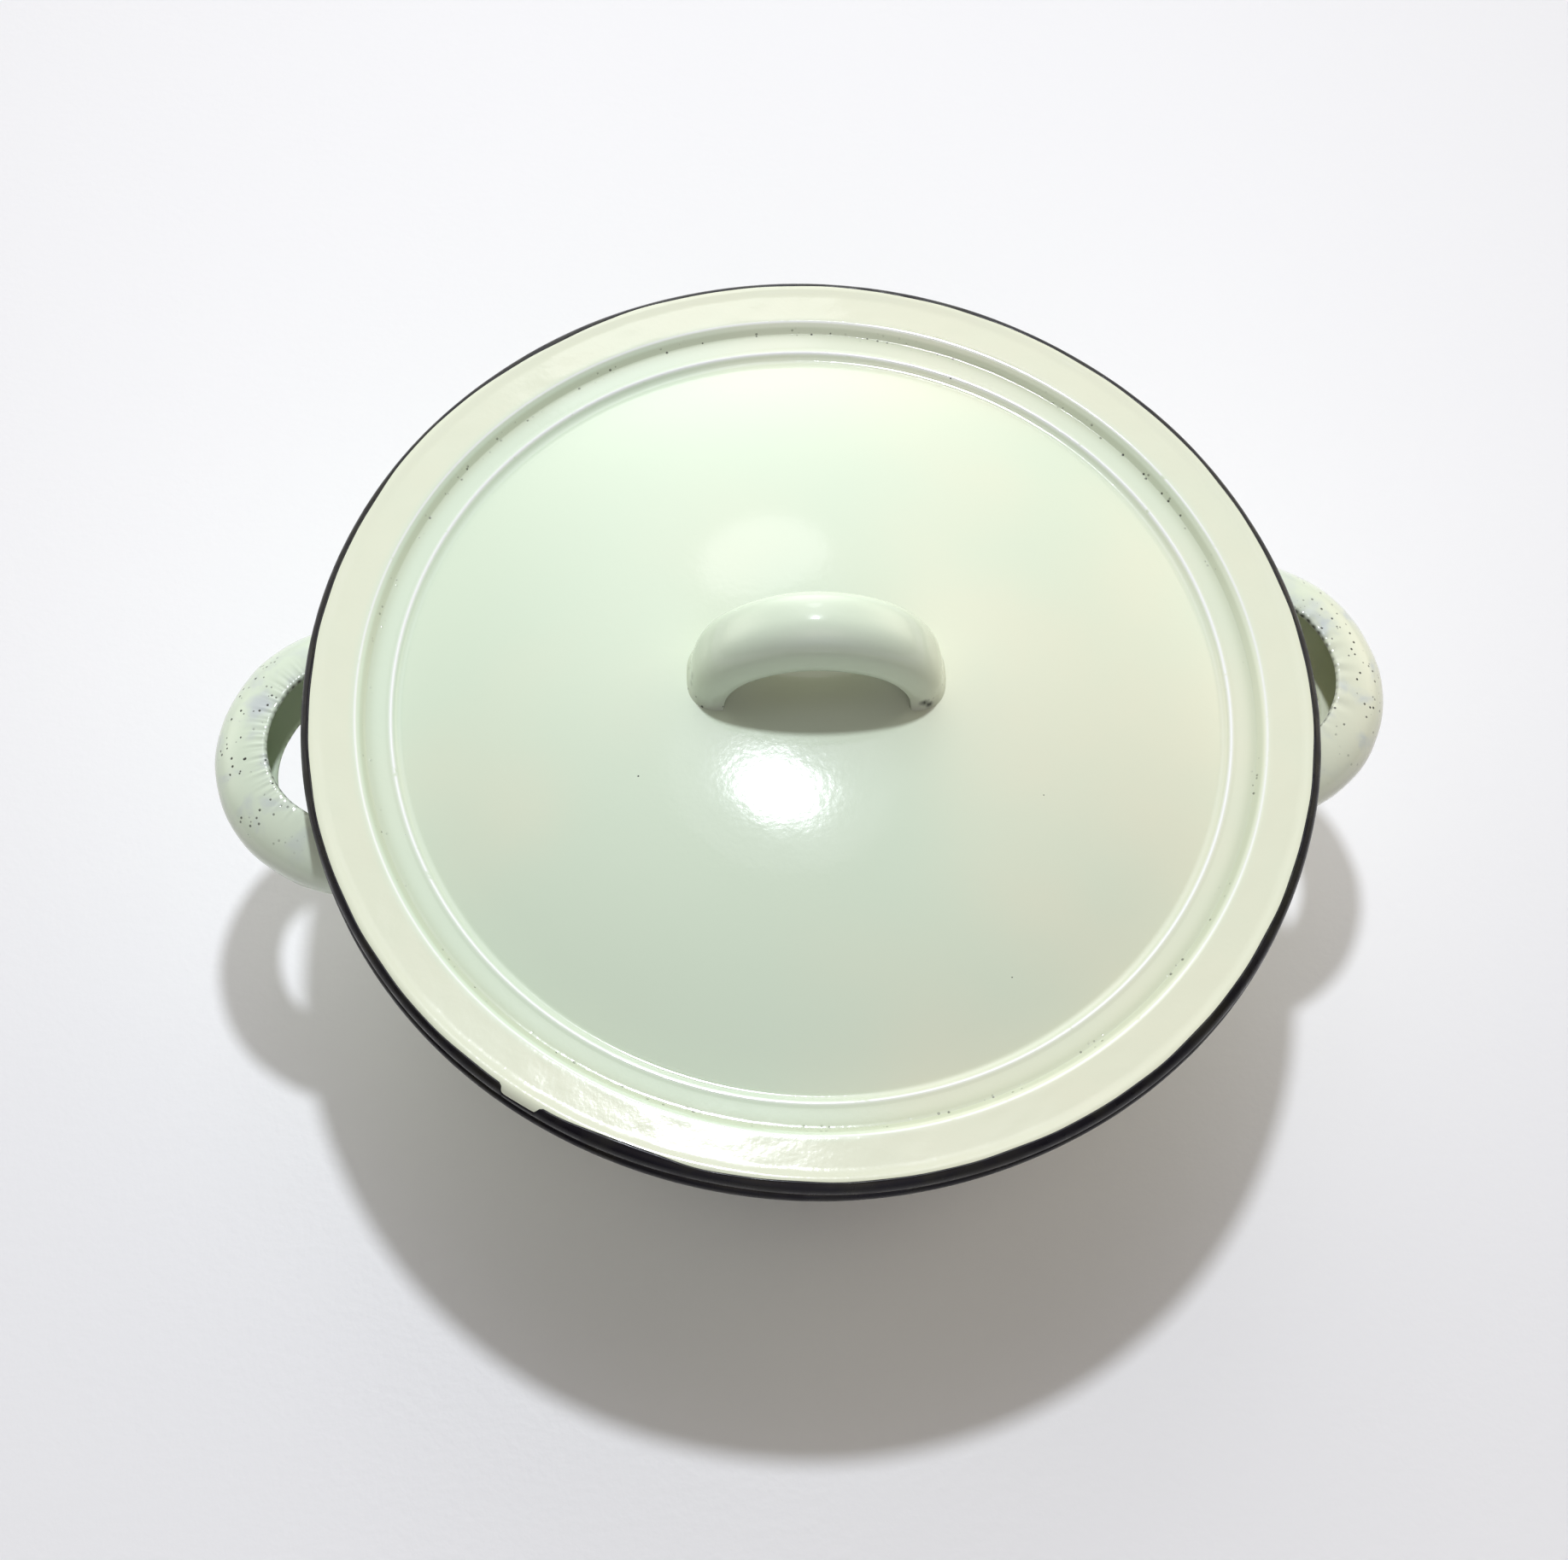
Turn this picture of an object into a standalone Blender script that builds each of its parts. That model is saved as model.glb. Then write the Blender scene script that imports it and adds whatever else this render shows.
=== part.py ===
"""Covered casserole dish in enamelled steel: a tapered pot with two loop handles and a stepped lid with an arch handle.

Metres, +Z up. The origin is the middle of the base, and the pot's handles lie along X.
"""

import math

import bmesh
import bpy
from mathutils import Matrix, Vector

MM = 0.001

# Driving dimensions
LID_RADIUS = 120 * MM  # outside of the lid's rolled edge
SEAT_HEIGHT = 95 * MM  # middle of the lid's rolled edge above the base
SHEET = 1.8 * MM  # enamelled sheet
GAP = 0.3 * MM  # between pieces that touch
ROUND_STEPS = 64  # segments of each turned piece

# Lid: heights are above the middle of its rolled edge
LID_BEAD = 2.54 * MM  # section radius of the rolled edge
BRIM_TOP = 2.5 * MM
STEP_RADIUS = 107.5 * MM  # where the brim drops to the land
STEP_TOP = 1.95 * MM
LAND_RADIUS = 105.25 * MM
LAND_TOP = -0.2 * MM  # ring between the step and the groove round the dome
RIDGE_RADIUS = 99.35 * MM
RIDGE_TOP = 0.1 * MM
GROOVE_RADIUS = 97.9 * MM
GROOVE_DEPTH = -1.85 * MM
DOME_RADIUS = 97 * MM
DOME_FOOT = -1.4 * MM
DOME_RISE = 14.2 * MM
DOME_POWER = 2.65  # above 2: flat in the middle and rounder at the edge

# Pot: heights above the base
RIM_RADIUS = 120.25 * MM  # outside of the pot's rolled edge
RIM_BEAD = 1.65 * MM
RIM_HEIGHT = SEAT_HEIGHT - 4.4 * MM  # middle of the rolled edge
WALL_TOP_RADIUS = 110.9 * MM
WALL_TOP = SEAT_HEIGHT - 8 * MM
WALL_TAPER = 0.165  # inward per unit of depth
CORNER_RADIUS = 26 * MM
FOOT_WIDTH = 10 * MM  # flat ring that the pot stands on
BASE_RECESS = 1.2 * MM

# Handles: bent channels, rounded outside and open towards the fingers
LOOP_CENTRE = 107.5 * MM  # middle of each loop's arc, from the axis
LOOP_INSIDE = 22.8 * MM
LOOP_DEPTH = 12.7 * MM  # lips to back
LOOP_WIDTH = 19 * MM
LOOP_HEIGHT = SEAT_HEIGHT - 18.5 * MM
LOOP_SWEEP = math.radians(102)  # each way, so that the ends run into the wall
LEFT_LOOP_TURN = math.radians(180)  # from +X
RIGHT_LOOP_TURN = math.radians(3.4)  # set by hand, a little off the left one's opposite
ARCH_BASE = SEAT_HEIGHT + 12.7 * MM  # level of the arch's widest place
ARCH_HALF_SPAN = 29.3 * MM
ARCH_RISE = 29.9 * MM
ARCH_INSIDE_HALF_SPAN = 21.8 * MM
ARCH_WIDTH = 17 * MM
ARCH_DEPTH = 12 * MM
ARCH_LEG = 8 * MM  # legs below the widest place, before they are trimmed to the dome
ARCH_TURN = math.radians(-3.2)  # how far the lid sits turned from the loops
LIP = 1.8 * MM  # wall of the channels
LOOP_STEPS = 22
ARCH_STEPS = 20

MINT = (0.72, 0.80, 0.65, 1)
BLACK = (0.012, 0.011, 0.014, 1)


def clear_scene():
    for obj in list(bpy.data.objects):
        bpy.data.objects.remove(obj, do_unlink=True)


def enamel(name, colour, roughness):
    material = bpy.data.materials.new(name)
    material.use_nodes = True
    shader = material.node_tree.nodes["Principled BSDF"]
    shader.inputs["Base Color"].default_value = colour
    shader.inputs["Roughness"].default_value = roughness
    shader.inputs["Metallic"].default_value = 0
    return material


def empty(name, location, parent=None):
    obj = bpy.data.objects.new(name, None)
    obj.location = location
    obj.parent = parent
    bpy.context.scene.collection.objects.link(obj)
    return obj


def piece(name, bm, material, parent):
    bmesh.ops.remove_doubles(bm, verts=bm.verts, dist=1e-6)
    bmesh.ops.recalc_face_normals(bm, faces=bm.faces)
    mesh = bpy.data.meshes.new(name)
    bm.to_mesh(mesh)
    bm.free()
    mesh.materials.append(material)
    mesh.shade_smooth()
    mesh.set_sharp_from_angle(angle=math.radians(40))
    obj = bpy.data.objects.new(name, mesh)
    obj.parent = parent
    bpy.context.scene.collection.objects.link(obj)
    return obj


def turned(profile, closed):
    """Profile of (radius, height) points spun once about Z. An open profile starts and ends on the axis."""
    bm = bmesh.new()
    verts = [bm.verts.new((radius, 0, height)) for radius, height in profile]
    pairs = list(zip(verts, verts[1:]))
    if closed:
        pairs.append((verts[-1], verts[0]))
    edges = [bm.edges.new(pair) for pair in pairs]
    bmesh.ops.spin(
        bm,
        geom=verts + edges,
        cent=(0, 0, 0),
        axis=(0, 0, 1),
        angle=2 * math.pi,
        steps=ROUND_STEPS,
        use_merge=True,
    )
    return bm


def arc(centre, radius, start, end, steps):
    """Points on a circle in the (radius, height) plane, angles in degrees from outward."""
    points = []
    for i in range(steps + 1):
        angle = math.radians(start + (end - start) * i / steps)
        points.append((centre[0] + radius * math.cos(angle), centre[1] + radius * math.sin(angle)))
    return points


def dome_height(radius):
    """The dome falls from its middle by a power of the radius."""
    return DOME_FOOT + DOME_RISE * (1 - (radius / DOME_RADIUS) ** DOME_POWER)


def raised(points, height):
    return [(radius, z + height) for radius, z in points]


def lid_profile():
    """Down the top from the middle to the rolled edge, and back underneath."""
    bead_centre = LID_RADIUS - LID_BEAD
    dome = [(DOME_RADIUS * i / 7, dome_height(DOME_RADIUS * i / 7)) for i in range(8)]
    top = dome + [
        (GROOVE_RADIUS, GROOVE_DEPTH),
        (RIDGE_RADIUS, RIDGE_TOP),
        (RIDGE_RADIUS + 1.3 * MM, LAND_TOP - 0.15 * MM),
        (LAND_RADIUS, LAND_TOP),
        (STEP_RADIUS, STEP_TOP),
        (STEP_RADIUS + 3.1 * MM, STEP_TOP + 0.05 * MM),
    ]
    around_bead = arc((bead_centre, 0), LID_BEAD + GAP, 118, 164, 3)
    under = [
        (STEP_RADIUS + 1.4 * MM, BRIM_TOP - SHEET + 0.1 * MM),
        (STEP_RADIUS + 0.6 * MM, STEP_TOP - SHEET),
        (LAND_RADIUS + 1.0 * MM, LAND_TOP - SHEET),
        (RIDGE_RADIUS - 0.2 * MM, LAND_TOP - SHEET - 0.1 * MM),
        (GROOVE_RADIUS - 0.2 * MM, GROOVE_DEPTH - SHEET),
    ]
    inside = [(radius * 0.985, height - SHEET) for radius, height in reversed(dome)]
    return raised(top + around_bead + under + inside, SEAT_HEIGHT)


def make_lid_shell(material, parent):
    bm = turned(lid_profile(), closed=False)
    bmesh.ops.translate(bm, verts=bm.verts, vec=-parent.location)
    return piece("lid_shell", bm, material, parent)


def make_rolled_edge(name, outside, section, height, material, parent):
    ring = arc((outside - section, height), section, 0, 315, 7)
    bm = turned(ring, closed=True)
    bmesh.ops.translate(bm, verts=bm.verts, vec=-parent.location)
    return piece(name, bm, material, parent)


def wall_radius(height):
    return WALL_TOP_RADIUS - WALL_TAPER * (WALL_TOP - height)


def corner_centre():
    """The corner's arc touches the tapered wall and the base."""
    lean = math.atan(WALL_TAPER)
    touch = CORNER_RADIUS * (1 - math.sin(lean))
    return wall_radius(touch) - CORNER_RADIUS * math.cos(lean), CORNER_RADIUS


def pot_profile():
    """Down the outside from the flared lip to the middle of the base, and up the inside."""
    rim = RIM_RADIUS - RIM_BEAD
    centre = corner_centre()
    lean = math.degrees(math.atan(WALL_TAPER))
    foot_inside = centre[0] - FOOT_WIDTH
    lip_out = [
        (112.4 * MM, SEAT_HEIGHT + 0.4 * MM),
        (114.2 * MM, SEAT_HEIGHT - 1.3 * MM),
        (rim - 1.9 * MM, SEAT_HEIGHT - 3.4 * MM),
        (rim - 1.95 * MM, SEAT_HEIGHT - 5.2 * MM),
        (113.4 * MM, SEAT_HEIGHT - 4.2 * MM),
        (111.4 * MM, SEAT_HEIGHT - 5.0 * MM),
        (WALL_TOP_RADIUS, WALL_TOP),
    ]
    outside = arc(centre, CORNER_RADIUS, -lean, -90, 6)
    base = [
        (foot_inside, 0),
        (foot_inside - 1.5 * MM, BASE_RECESS),
        (0, BASE_RECESS),
    ]
    inner_floor = [
        (0, BASE_RECESS + SHEET),
        (foot_inside - 0.8 * MM, BASE_RECESS + SHEET),
        (foot_inside + 0.7 * MM, SHEET),
    ]
    inside = arc(centre, CORNER_RADIUS - SHEET, -90, -lean, 6)
    mouth = [
        (wall_radius(WALL_TOP) - SHEET, WALL_TOP),
        (109.1 * MM, SEAT_HEIGHT - 1.2 * MM),
        (109.7 * MM, SEAT_HEIGHT + 0.1 * MM),
        (111.0 * MM, SEAT_HEIGHT + 0.3 * MM),
    ]
    return lip_out + outside + base, inner_floor + inside + mouth


def make_pot_body(material, parent):
    out, back = pot_profile()
    # The profile is one open line from axis to axis, through the lip.
    bm = turned(list(reversed(out)) + list(reversed(back)), closed=False)
    return piece("pot_body", bm, material, parent)


def channel(width, depth, wall):
    """Section of a bent channel: half ellipse outside, half ellipse inside, open at zero depth.

    Each point is (across, depth).
    """
    outer = []
    inner = []
    for i in range(9):
        angle = math.pi * i / 8
        outer.append((-width / 2 * math.cos(angle), depth * math.sin(angle)))
    for i in range(7):
        angle = math.pi * (1 - i / 6)
        inner.append((-(width / 2 - wall) * math.cos(angle), (depth - wall) * math.sin(angle)))
    return outer + inner


def swept(rings):
    """Skin over closed rings of points, with a cap on each end."""
    bm = bmesh.new()
    loops = [[bm.verts.new(point) for point in ring] for ring in rings]
    for first, second in zip(loops, loops[1:]):
        for i in range(len(first)):
            j = (i + 1) % len(first)
            bm.faces.new((first[i], first[j], second[j], second[i]))
    bm.faces.new(loops[0])
    bm.faces.new(reversed(loops[-1]))
    bmesh.ops.triangulate(bm, faces=[face for face in bm.faces if len(face.verts) > 4])
    return bm


def trim(obj, cutter_profile, parent):
    """Takes away what reaches inside a turned body, so that the end fits its surface."""
    bm = turned(cutter_profile, closed=False)
    cutter = piece(obj.name + "_cutter", bm, obj.data.materials[0], parent)
    cutter.hide_render = True
    cutter.display_type = "WIRE"
    cut = obj.modifiers.new("Trim", "BOOLEAN")
    cut.operation = "DIFFERENCE"
    cut.solver = "EXACT"
    cut.object = cutter
    return obj


def make_loop(name, turn, material, parent):
    """Channel carried round an arc in a level plane, on the side of the pot that turn points to."""
    section = channel(LOOP_WIDTH, LOOP_DEPTH, LIP)
    rings = []
    for i in range(LOOP_STEPS + 1):
        angle = LOOP_SWEEP * (2 * i / LOOP_STEPS - 1)
        ring = []
        for across, depth in section:
            reach = LOOP_INSIDE + depth
            ring.append((LOOP_CENTRE + reach * math.cos(angle), reach * math.sin(angle), LOOP_HEIGHT + across))
        rings.append(ring)
    bm = swept(rings)
    bmesh.ops.rotate(bm, verts=bm.verts, cent=(0, 0, 0), matrix=Matrix.Rotation(turn, 3, "Z"))
    obj = piece(name, bm, material, parent)
    below = LOOP_HEIGHT - LOOP_WIDTH
    above = LOOP_HEIGHT + LOOP_WIDTH
    core = [
        (0, above),
        (wall_radius(above) + GAP, above),
        (wall_radius(below) + GAP, below),
        (0, below),
    ]
    return trim(obj, core, parent)


def arch_ring(run, section):
    """One section of the arch at a fraction of its way, from one foot over the top to the other."""
    leg = ARCH_LEG / (2 * ARCH_LEG + math.pi * ARCH_RISE)
    if run < leg or run > 1 - leg:
        angle = math.pi if run < leg else 0
        drop = ARCH_LEG * (1 - min(run, 1 - run) / leg)
    else:
        angle = math.pi * (1 - (run - leg) / (1 - 2 * leg))
        drop = 0
    outer = Vector((ARCH_HALF_SPAN * math.cos(angle), 0, ARCH_RISE * math.sin(angle) - drop))
    inner = Vector((ARCH_INSIDE_HALF_SPAN * math.cos(angle), 0, (ARCH_RISE - ARCH_DEPTH) * math.sin(angle) - drop))
    return [inner + (outer - inner) * depth + Vector((0, across, 0)) for across, depth in section]


def make_lid_handle(material, parent):
    """Channel carried over an elliptical arch, with legs trimmed to the dome."""
    section = [(across, depth / ARCH_DEPTH) for across, depth in channel(ARCH_WIDTH, ARCH_DEPTH, LIP)]
    rings = [arch_ring(i / ARCH_STEPS, section) for i in range(ARCH_STEPS + 1)]
    bm = swept(rings)
    lift = ARCH_BASE - parent.location.z
    bmesh.ops.translate(bm, verts=bm.verts, vec=(0, 0, lift))
    obj = piece("lid_handle", bm, material, parent)
    obj.rotation_euler.z = ARCH_TURN
    reach = ARCH_HALF_SPAN + ARCH_WIDTH
    steps = 6
    skin = [(reach * i / steps, dome_height(reach * i / steps) + GAP) for i in range(steps + 1)]
    floor = DOME_FOOT - DOME_RISE
    return trim(obj, skin + [(reach, floor), (0, floor)], parent)


def main():
    clear_scene()
    pot_enamel = enamel("mint_enamel", MINT, 0.18)
    black_enamel = enamel("black_edge_enamel", BLACK, 0.2)
    pot_frame = empty("pot_frame", (0, 0, 0))
    lid_frame = empty("lid_frame", (0, 0, SEAT_HEIGHT))
    make_pot_body(pot_enamel, pot_frame)
    make_rolled_edge("pot_rim", RIM_RADIUS, RIM_BEAD, RIM_HEIGHT, black_enamel, pot_frame)
    make_loop("pot_handle_left", LEFT_LOOP_TURN, pot_enamel, pot_frame)
    make_loop("pot_handle_right", RIGHT_LOOP_TURN, pot_enamel, pot_frame)
    make_lid_shell(pot_enamel, lid_frame)
    make_rolled_edge("lid_rim", LID_RADIUS, LID_BEAD, SEAT_HEIGHT, black_enamel, lid_frame)
    make_lid_handle(pot_enamel, lid_frame)


main()
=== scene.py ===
import math

import bmesh
import bpy
import numpy as np
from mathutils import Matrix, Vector


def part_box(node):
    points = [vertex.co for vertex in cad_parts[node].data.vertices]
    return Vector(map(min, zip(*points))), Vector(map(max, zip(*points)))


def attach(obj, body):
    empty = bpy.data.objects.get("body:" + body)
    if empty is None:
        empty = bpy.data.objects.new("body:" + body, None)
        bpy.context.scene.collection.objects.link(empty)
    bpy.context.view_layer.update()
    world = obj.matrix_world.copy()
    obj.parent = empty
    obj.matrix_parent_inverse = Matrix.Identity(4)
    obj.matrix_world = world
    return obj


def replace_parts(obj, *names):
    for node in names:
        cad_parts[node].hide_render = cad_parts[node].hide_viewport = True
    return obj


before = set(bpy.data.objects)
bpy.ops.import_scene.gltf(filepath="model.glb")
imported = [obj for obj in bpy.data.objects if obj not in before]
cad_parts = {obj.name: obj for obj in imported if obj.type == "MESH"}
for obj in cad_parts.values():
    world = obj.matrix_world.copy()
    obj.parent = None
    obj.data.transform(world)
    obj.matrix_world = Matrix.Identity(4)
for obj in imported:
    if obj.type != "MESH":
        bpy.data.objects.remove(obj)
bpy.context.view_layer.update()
mm = 0.001

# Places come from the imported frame.
lidRimLow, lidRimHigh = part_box("lid_rim")
seat = (lidRimLow.z + lidRimHigh.z) / 2  # middle of the lid's rolled edge, above the base
lidRadius = lidRimHigh.x
potRimLow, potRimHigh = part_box("pot_rim")
potRimRadius = potRimHigh.x
potRimHeight = (potRimLow.z + potRimHigh.z) / 2
loopLow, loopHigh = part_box("pot_handle_right")


def smooth(x, low, high):
    # smoothstep: 0 below low, 1 above high, 3t2 - 2t3 between
    t = np.clip((x - low) / (high - low), 0, 1)
    return t * t * (3 - 2 * t)


def waves(angle, terms):
    # sum of cosines of whole multiples of the angle: each term is (multiple, size, phase in degrees)
    return sum(size * np.cos(count * angle + math.radians(phase)) for count, size, phase in terms)


def bump(angle, middle, half):
    # one smooth hump round an angle in degrees, 1 in the middle and 0 from half degrees away
    away = np.abs((np.degrees(angle) - middle + 180) % 360 - 180)
    return 1 - smooth(away, 0, half)


def ridgeAt(distance, width):
    # bell curve: 1 at distance 0, falling off over the width
    return np.exp(-((distance / width) ** 2))


def rounded(corners, gap):
    # a line through corners (x, y, radius): each corner is replaced by the arc that touches both of its sides
    points = [np.array(corners[0][:2])]
    for before, here, after in zip(corners, corners[1:], corners[2:]):
        p = np.array(here[:2])
        a = np.array(before[:2]) - p
        b = np.array(after[:2]) - p
        a, b = a / np.linalg.norm(a), b / np.linalg.norm(b)
        half = math.acos(np.clip(a @ b, -1, 1)) / 2
        if here[2] <= 0 or half > 1.56:
            points.append(p)
            continue
        run = here[2] / math.tan(half)
        middle = p + (a + b) / np.linalg.norm(a + b) * here[2] / math.sin(half)
        start, end = p + a * run - middle, p + b * run - middle
        sweep = math.atan2(start[0] * end[1] - start[1] * end[0], start @ end)
        count = max(3, int(abs(sweep) * here[2] / gap))
        turn = np.linspace(0, sweep, count)
        arcX = start[0] * np.cos(turn) - start[1] * np.sin(turn)
        arcY = start[0] * np.sin(turn) + start[1] * np.cos(turn)
        points.extend(middle + np.stack([arcX, arcY], 1))
    points.append(np.array(corners[-1][:2]))
    return np.array(points)


def filled(line, longest):
    # adds points along straight stretches, so that no step is longer than longest
    parts = []
    for p, q in zip(line, line[1:]):
        count = max(1, int(math.ceil(np.linalg.norm(q - p) / longest)))
        parts.append(p + (q - p) * (np.arange(count) / count)[:, None])
    return np.concatenate(parts + [line[-1:]])


def ringOf(centre, radius, start, end, count):
    # points round part of a circle, angles in degrees from +x
    turn = np.radians(np.linspace(start, end, count))
    return np.stack([centre[0] + radius * np.cos(turn), centre[1] + radius * np.sin(turn)], 1)


def gridMesh(name, points, closeAcross, closeAlong, material, marks=None):
    # points is an array (along, across, 3), and quads join neighbours. marks are numbers kept at each point.
    rows, columns = points.shape[:2]
    flat = points.reshape(-1, 3)
    index = np.arange(rows * columns).reshape(rows, columns)
    across = np.arange(columns if closeAcross else columns - 1)
    along = np.arange(rows if closeAlong else rows - 1)
    a = index[along][:, across]
    b = index[along][:, (across + 1) % columns]
    c = index[(along + 1) % rows][:, (across + 1) % columns]
    d = index[(along + 1) % rows][:, across]
    quads = np.stack([a, b, c, d], -1).reshape(-1, 4)
    mesh = bpy.data.meshes.new(name)
    mesh.from_pydata(flat.tolist(), [], quads.tolist())
    for key, values in (marks or {}).items():
        attribute = mesh.attributes.new(key, "FLOAT", "POINT")
        attribute.data.foreach_set("value", np.ascontiguousarray(values, np.float32).reshape(-1))
    mesh.materials.append(material)
    obj = bpy.data.objects.new(name, mesh)
    bpy.context.scene.collection.objects.link(obj)
    return obj


def tidy(obj):
    # merges poles and seams, turns every face outward and shades it smooth
    bm = bmesh.new()
    bm.from_mesh(obj.data)
    bmesh.ops.remove_doubles(bm, verts=bm.verts, dist=2e-6)
    bmesh.ops.dissolve_degenerate(bm, edges=bm.edges, dist=1e-7)
    bmesh.ops.recalc_face_normals(bm, faces=bm.faces)
    bm.to_mesh(obj.data)
    bm.free()
    obj.data.shade_smooth()
    return obj


def turnedPoints(profile, turns, shift):
    # a profile of (radius, height) carried round Z, where shift(angle, profile) changes both a little
    angle = np.arange(turns) * 2 * np.pi / turns
    radius = np.repeat(profile[:, :1], turns, 1)
    height = np.repeat(profile[:, 1:], turns, 1)
    moveRadius, moveHeight = shift(angle[None], profile)
    radius, height = radius + moveRadius, height + moveHeight
    points = np.stack([radius * np.cos(angle), radius * np.sin(angle), height], -1)
    return points, radius, angle


def edgeCoat(name, k, middle, start, end, edge, shift):
    # a thin skin on a rolled edge, out along an arc and back inside the edge, with edge(share) for its thickness
    angle = np.arange(k["turns"]) * 2 * np.pi / k["turns"]
    share = np.linspace(0, 1, k["rows"])[:, None]
    turn = start(angle) + (end(angle) - start(angle)) * share
    thick = k["least"] + (k["most"] - k["least"]) * edge(share)
    reach = np.concatenate([k["bead"] + thick + 0 * turn, k["bead"] - k["inside"] + 0 * turn])
    turn = np.concatenate([turn, turn[::-1]])
    moveRadius, moveHeight = shift(angle[None], np.array([middle]))
    radius = middle[0] + reach * np.cos(turn) + moveRadius
    height = middle[1] + reach * np.sin(turn) + moveHeight
    points = np.stack([radius * np.cos(angle), radius * np.sin(angle), height], -1)
    return tidy(gridMesh(name, points, True, True, black))


# Materials

# What makes the enamel look handled and hand dipped, with a painted highlight and painted shade among its
# colours.
glaze = {
    "mint": (0.725, 0.742, 0.575),
    "mintCool": (0.635, 0.735, 0.580),
    "cream": (0.715, 0.725, 0.560),
    "cloud": (0.540, 0.590, 0.570),  # thin, greyish places on the handles
    "darkOliveAndShade": (0.470, 0.520, 0.360),  # darker olive in the lid's crease and at the arch's feet, and painted shade on the dome under the arch
    "bareAndShade": (0.030, 0.032, 0.022),  # dark ground coat at sharp edges and in pits, and painted shade inside the arch's channel
    "line": (0.900, 0.910, 0.910),  # pale colour painted along the crest of each pressed ring as a highlight
    "roughness": 0.085,
    "ior": 1.52,
    "coat": 0.2,
    "coatRoughness": 0.06,
    "lean": 1.5,  # how far the colour goes from the cool shade to mint, for each metre along X
    "lonePits": (260.0, 0.07, 0.985),  # cells in a metre, size in a cell, share of cells left out
    "crowdedPits": (620.0, 0.25, 0.20),
    "pitDepth": 0.15 * mm,
    "wave": (160.0, 0.06 * mm, 0.35),  # cells in a metre, height, strength
    "grain": (700.0, 0.04 * mm, 0.5),
}
blackCoat = {
    "colour": (0.009, 0.008, 0.011),
    "edge": (0.018, 0.017, 0.013),
    "fleck": (0.10, 0.10, 0.09),
    "flecks": (500.0, 0.10, 0.97),
    "roughness": 0.26,
    "ior": 1.42,
    "specular": 0.3,
    "wave": (210.0, 0.12 * mm, 0.5),
}


def newMaterial(name):
    material = bpy.data.materials.new(name)
    material.use_nodes = True
    return material, material.node_tree.nodes["Principled BSDF"]


def feed(material, socket, value):
    # links another node's output to the socket, or sets the socket to a number or a vector
    if hasattr(value, "is_linked"):
        material.node_tree.links.new(value, socket)
    else:
        socket.default_value = value


def addNode(material, kind, settings=None, **inputs):
    node = material.node_tree.nodes.new(kind)
    for key, value in (settings or {}).items():
        setattr(node, key, value)
    for key, value in inputs.items():
        feed(material, node.inputs[key], value)
    return node


def mixed(material, factor, first, second):
    node = material.node_tree.nodes.new("ShaderNodeMix")
    node.data_type = "RGBA"
    feed(material, node.inputs[0], factor)
    for socket, colour in zip(node.inputs[6:8], (first, second)):
        feed(material, socket, (*colour, 1) if isinstance(colour, tuple) else colour)
    return node.outputs[2]


def maths(material, operation, first, second=0.0, clamp=False):
    node = material.node_tree.nodes.new("ShaderNodeMath")
    node.operation = operation
    node.use_clamp = clamp
    feed(material, node.inputs[0], first)
    feed(material, node.inputs[1], second)
    return node.outputs[0]


def ranged(material, value, low, high, outLow=0.0, outHigh=1.0):
    node = material.node_tree.nodes.new("ShaderNodeMapRange")
    node.interpolation_type = "SMOOTHSTEP"
    material.node_tree.links.new(value, node.inputs[0])
    for i, number in enumerate((low, high, outLow, outHigh)):
        node.inputs[i + 1].default_value = number
    return node.outputs[0]


def noiseAt(material, place, scale, detail=2.0, distortion=0.0):
    inputs = {"Vector": place, "Scale": scale, "Detail": detail, "Distortion": distortion}
    return addNode(material, "ShaderNodeTexNoise", **inputs).outputs["Fac"]


def mark(material, name):
    return addNode(material, "ShaderNodeAttribute", {"attribute_name": name}).outputs["Fac"]


def dotsAt(material, place, scale, size, rarity):
    # small round dots: near a cell's point, and only in the cells whose own colour is above the rarity
    cells = addNode(material, "ShaderNodeTexVoronoi", Vector=place, Scale=scale)
    near = ranged(material, cells.outputs["Distance"], size, size * 0.6)
    parts = addNode(material, "ShaderNodeSeparateColor", Color=cells.outputs["Color"])
    wanted = maths(material, "GREATER_THAN", parts.outputs[0], rarity)
    return maths(material, "MULTIPLY", near, wanted)


def waved(material, place, settings, normal=None, detail=2.0):
    # normals of a low noise in the surface, given as (cells in a metre, height, strength)
    scale, height, strength = settings
    inputs = {"Strength": strength, "Distance": height, "Height": noiseAt(material, place, scale, detail)}
    if normal:
        inputs["Normal"] = normal
    return addNode(material, "ShaderNodeBump", **inputs).outputs[0]


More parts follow.
